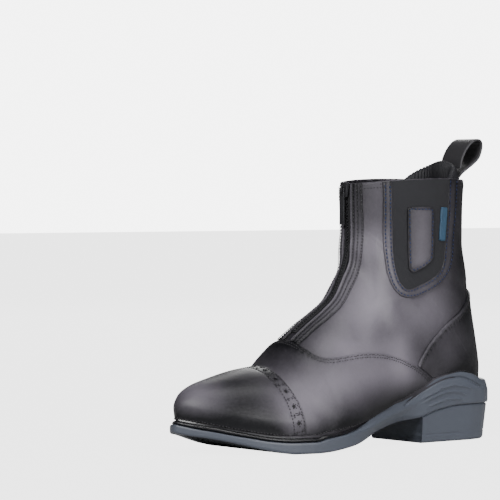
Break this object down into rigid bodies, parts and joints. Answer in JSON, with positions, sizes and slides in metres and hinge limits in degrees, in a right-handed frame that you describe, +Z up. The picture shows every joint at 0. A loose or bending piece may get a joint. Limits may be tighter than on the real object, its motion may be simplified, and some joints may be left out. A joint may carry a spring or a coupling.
{
  "type": "ankle boot",
  "caption": "Black leather ankle boot for the left foot, with a front zip, elastic side panels, toe cap, pull loop and block heel.",
  "frame": {"origin": "middle of the flat bottom of the heel, on the floor", "axes": "+Z up; the toe points to -Y; +X is the outer side of the left foot"},
  "size_m": [0.1025, 0.2923, 0.2321],
  "materials": {
    "leather": "smooth, half gloss, fine grain",
    "elastic": "ribbed elastic, dull",
    "tab": "woven, dull",
    "tape": "woven, dull",
    "zip_metal": "dark, half gloss",
    "blue_rubber": "satin",
    "tread_rubber": "dull",
    "sole_rubber": "satin",
    "heel_rubber": "satin",
    "welt": "rolled, glossy",
    "insole": "dull lining",
    "pad_leather": "soft, pleated, satin",
    "strap": "smooth, satin"
  },
  "bodies": {
    "boot": {"upper": "leather", "vamp": "leather", "toe_cap": "leather", "counter": "leather", "gore_outer": "elastic", "gore_band_outer": "leather", "gore_patch_outer": "leather", "gore_inner": "elastic", "gore_band_inner": "leather", "gore_patch_inner": "leather", "side_tab": "tab", "zip_tape": "tape", "zip_chain": "zip_metal", "zip_facing_outer": "leather", "zip_facing_inner": "leather", "flex_bar_front": "blue_rubber", "flex_bar_rear": "blue_rubber", "tread_panel": "tread_rubber", "sole_badge": "blue_rubber", "waist_stripe": "blue_rubber", "outsole": "sole_rubber", "welt": "welt", "heel_block": "heel_rubber", "insole": "insole", "collar_pad": "pad_leather", "pull_loop": "strap", "zip_slider": "zip_metal"},
    "pull_tab": {"zip_pull_tab": "zip_metal"}
  },
  "joints": [
    {"name": "pull_tab_hinge", "type": "hinge", "parent": "boot", "child": "pull_tab", "pos_m": [0, -0.0924, 0.193], "axis": [-1, 0, 0], "range_deg": [0, 150]}
  ]
}
